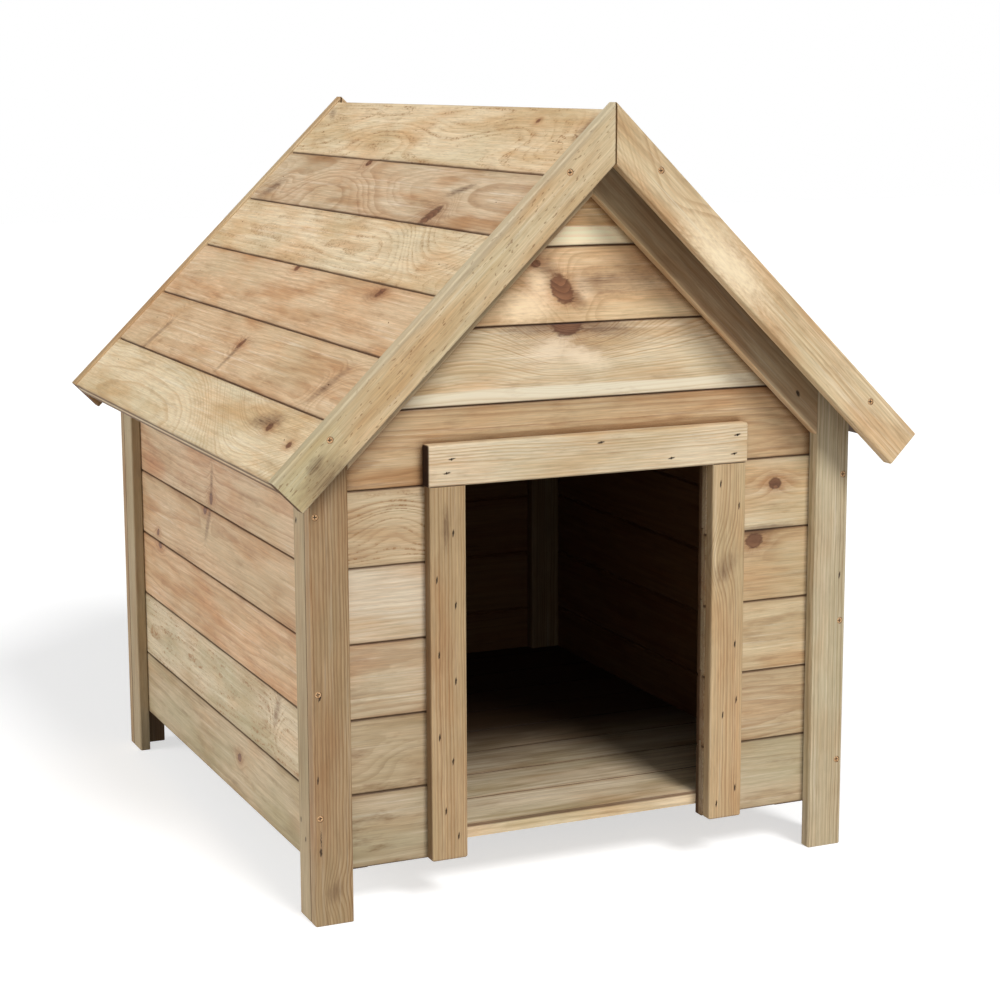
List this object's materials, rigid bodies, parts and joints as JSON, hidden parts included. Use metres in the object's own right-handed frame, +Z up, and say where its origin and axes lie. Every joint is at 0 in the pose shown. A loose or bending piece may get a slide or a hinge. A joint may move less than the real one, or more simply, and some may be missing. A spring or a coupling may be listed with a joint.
{
  "type": "dog house",
  "caption": "Free-standing pitched-roof timber dog house with tongue-and-groove board walls, open framed doorway, board floor and short legs.",
  "frame": {"origin": "on the ground, under the middle of the whole house over its bargeboards", "axes": "+Z up, +X to the right as seen from the front, the doorway faces -Y; the house is alike left and right of X = 0 apart from screw heights"},
  "size_m": [0.795, 0.882, 0.9019],
  "materials": {
    "wall_boards": "sawn and planed pine, bare",
    "roof_boards": "planed pine, bare",
    "floor_boards": "planed pine, bare",
    "posts_and_battens": "planed pine, bare",
    "door_trim": "planed pine, rounded edges, bare",
    "bargeboards": "planed pine, bare",
    "hidden_battens": "planed pine, bare",
    "screw_steel": "yellow zinc plated",
    "nail_steel": "plain steel"
  },
  "bodies": {
    "root": {"bargeboard_front_left": "bargeboards", "bargeboard_front_right": "bargeboards", "bargeboard_rear_left": "bargeboards", "bargeboard_rear_right": "bargeboards", "door_jamb_left": "door_trim", "door_jamb_right": "door_trim", "door_lintel": "door_trim", "floor_bearers": "hidden_battens", "floor_boards": "floor_boards", "front_board_10": "wall_boards", "front_board_6": "wall_boards", "front_board_7": "wall_boards", "front_board_8": "wall_boards", "front_board_9": "wall_boards", "front_board_left_1": "wall_boards", "front_board_left_2": "wall_boards", "front_board_left_3": "wall_boards", "front_board_left_4": "wall_boards", "front_board_left_5": "wall_boards", "front_board_right_1": "wall_boards", "front_board_right_2": "wall_boards", "front_board_right_3": "wall_boards", "front_board_right_4": "wall_boards", "front_board_right_5": "wall_boards", "front_post_left": "posts_and_battens", "front_post_right": "posts_and_battens", "gable_batten_front_left": "posts_and_battens", "gable_batten_front_right": "posts_and_battens", "gable_batten_rear_left": "posts_and_battens", "gable_batten_rear_right": "posts_and_battens", "inner_corner_battens": "hidden_battens", "inner_rafters": "hidden_battens", "left_wall_board_1": "wall_boards", "left_wall_board_2": "wall_boards", "left_wall_board_3": "wall_boards", "left_wall_board_4": "wall_boards", "left_wall_board_5": "wall_boards", "left_wall_board_6": "wall_boards", "nails": "nail_steel", "rear_post_left": "posts_and_battens", "rear_post_right": "posts_and_battens", "rear_wall_boards": "wall_boards", "right_wall_boards": "wall_boards", "roof_board_left_1": "roof_boards", "roof_board_left_2": "roof_boards", "roof_board_left_3": "roof_boards", "roof_board_left_4": "roof_boards", "roof_board_left_5": "roof_boards", "roof_board_left_6": "roof_boards", "roof_board_right_1": "roof_boards", "roof_board_right_2": "roof_boards", "roof_board_right_3": "roof_boards", "roof_board_right_4": "roof_boards", "roof_board_right_5": "roof_boards", "roof_board_right_6": "roof_boards", "screws": "screw_steel", "side_batten_front_left": "posts_and_battens", "side_batten_front_right": "posts_and_battens", "side_batten_rear_left": "posts_and_battens", "side_batten_rear_right": "posts_and_battens"}
  },
  "joints": []
}
